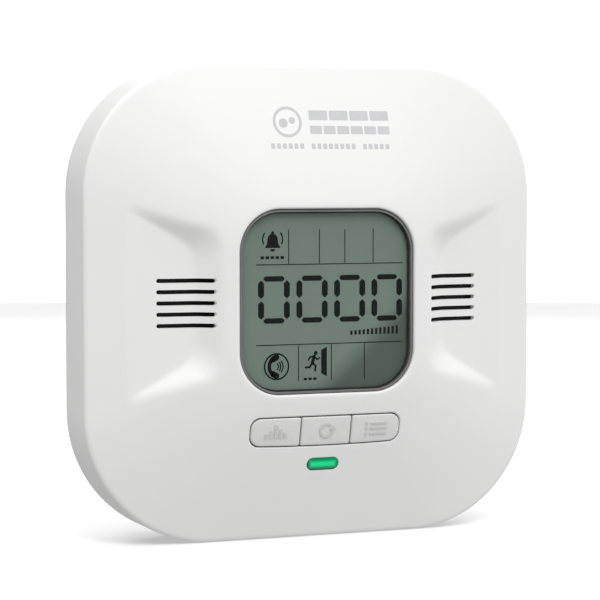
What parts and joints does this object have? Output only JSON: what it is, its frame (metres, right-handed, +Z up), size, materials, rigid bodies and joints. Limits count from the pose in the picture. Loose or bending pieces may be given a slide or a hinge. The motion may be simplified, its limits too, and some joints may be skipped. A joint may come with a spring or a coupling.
{
  "type": "carbon monoxide detector",
  "caption": "Rounded square wall alarm with a domed white face, display window, side vents, front buttons, status light, battery door and a slide-off wall bracket.",
  "frame": {"origin": "middle of the case outline on the surface that the alarm stands on", "axes": "+Z up, the face looks along -Y, +X to the right of someone facing it, +Y out of the back to the wall"},
  "size_m": [0.12, 0.0354, 0.1185],
  "materials": {
    "front_moulding": "satin white moulding",
    "rear_moulding": "fine matt texture",
    "door_moulding": "fine matt texture",
    "bracket_moulding": "fine matt texture",
    "button_moulding": "satin white moulding",
    "clear_lens": "clear acrylic with a bevelled edge",
    "lcd_glass": "grey green display glass",
    "black_foam": "soft black foam",
    "milky_diffuser": "milky sheet",
    "frame_plastic": "plain moulding",
    "zebra_rubber": "soft rubber",
    "board_laminate": "green solder mask",
    "switch_base": "black moulding",
    "switch_stem": "brown moulding",
    "green_light_pipe": "translucent, lit green",
    "led_chip": "clear resin",
    "chip_package": "moulded epoxy",
    "capacitor_sleeve": "shrink sleeve",
    "ferrite": "dark ferrite",
    "sensor_steel": "drawn can",
    "sensor_cap": "natural nylon",
    "sounder_plastic": "black moulding",
    "piezo_brass": "brushed disc",
    "vent_screen": "fine woven screen",
    "red_wire": "smooth insulation",
    "black_wire": "smooth insulation",
    "battery_jacket": "printed foil jacket",
    "spring_wire": "nickel plated",
    "nickel_contact": "nickel plated",
    "zinc_screw": "zinc plated"
  },
  "bodies": {
    "alarm": {"alarm_driver_chip": "chip_package", "backlight_diffuser": "milky_diffuser", "battery_1": "battery_jacket", "battery_2": "battery_jacket", "battery_3": "battery_jacket", "battery_spring_1": "spring_wire", "battery_spring_2": "spring_wire", "battery_spring_3": "spring_wire", "battery_wire_black": "black_wire", "battery_wire_red": "red_wire", "board_screw_1": "zinc_screw", "board_screw_2": "zinc_screw", "board_screw_3": "zinc_screw", "board_screw_4": "zinc_screw", "capacitor_1": "capacitor_sleeve", "capacitor_2": "capacitor_sleeve", "case_screw_1": "zinc_screw", "case_screw_2": "zinc_screw", "case_screw_3": "zinc_screw", "case_screw_4": "zinc_screw", "contact_bridge_left": "nickel_contact", "contact_bridge_right": "nickel_contact", "contact_negative": "nickel_contact", "contact_positive": "nickel_contact", "front_cover": "front_moulding", "lcd_frame": "frame_plastic", "lcd_glass": "lcd_glass", "lcd_lens": "clear_lens", "lens_gasket": "black_foam", "light_pipe": "green_light_pipe", "main_board": "board_laminate", "microcontroller": "chip_package", "piezo_disc": "piezo_brass", "rear_cover": "rear_moulding", "sensor_can": "sensor_steel", "sensor_filter_cap": "sensor_cap", "sounder_coil": "ferrite", "sounder_housing": "sounder_plastic", "sounder_wire_black": "black_wire", "sounder_wire_red": "red_wire", "status_led": "led_chip", "switch_base_left": "switch_base", "switch_base_middle": "switch_base", "switch_base_right": "switch_base", "vent_screen_left": "vent_screen", "vent_screen_right": "vent_screen", "zebra_connector": "zebra_rubber"},
    "button_left": {"button_left": "button_moulding"},
    "plunger_left": {"switch_plunger_left": "switch_stem"},
    "button_middle": {"button_middle": "button_moulding"},
    "plunger_middle": {"switch_plunger_middle": "switch_stem"},
    "button_right": {"button_right": "button_moulding"},
    "plunger_right": {"switch_plunger_right": "switch_stem"},
    "battery_door": {"battery_door": "door_moulding"},
    "wall_bracket": {"wall_bracket": "bracket_moulding"}
  },
  "joints": [
    {"name": "press_left", "type": "slide", "parent": "alarm", "child": "button_left", "axis": [0, 1, 0], "range_m": [0, 0.0004], "stiffness_N_per_m": 400, "springref_m": -0.0005},
    {"name": "plunge_left", "type": "slide", "parent": "alarm", "child": "plunger_left", "axis": [0, 1, 0], "range_m": [0, 0.0004]},
    {"name": "press_middle", "type": "slide", "parent": "alarm", "child": "button_middle", "axis": [0, 1, 0], "range_m": [0, 0.0004], "stiffness_N_per_m": 400, "springref_m": -0.0005},
    {"name": "plunge_middle", "type": "slide", "parent": "alarm", "child": "plunger_middle", "axis": [0, 1, 0], "range_m": [0, 0.0004]},
    {"name": "press_right", "type": "slide", "parent": "alarm", "child": "button_right", "axis": [0, 1, 0], "range_m": [0, 0.0004], "stiffness_N_per_m": 400, "springref_m": -0.0005},
    {"name": "plunge_right", "type": "slide", "parent": "alarm", "child": "plunger_right", "axis": [0, 1, 0], "range_m": [0, 0.0004]},
    {"name": "door_hinge", "type": "hinge", "parent": "alarm", "child": "battery_door", "pos_m": [0, 0.01335, 0.0103], "axis": [-1, 0, 0], "range_deg": [0, 90]},
    {"name": "bracket_unhook", "type": "slide", "parent": "alarm", "child": "wall_bracket", "axis": [0, 0, -1], "range_m": [0, 0.008]}
  ],
  "couplings": [
    {"joint": "plunge_left", "follows": "press_left", "ratio": 1},
    {"joint": "plunge_middle", "follows": "press_middle", "ratio": 1},
    {"joint": "plunge_right", "follows": "press_right", "ratio": 1}
  ]
}
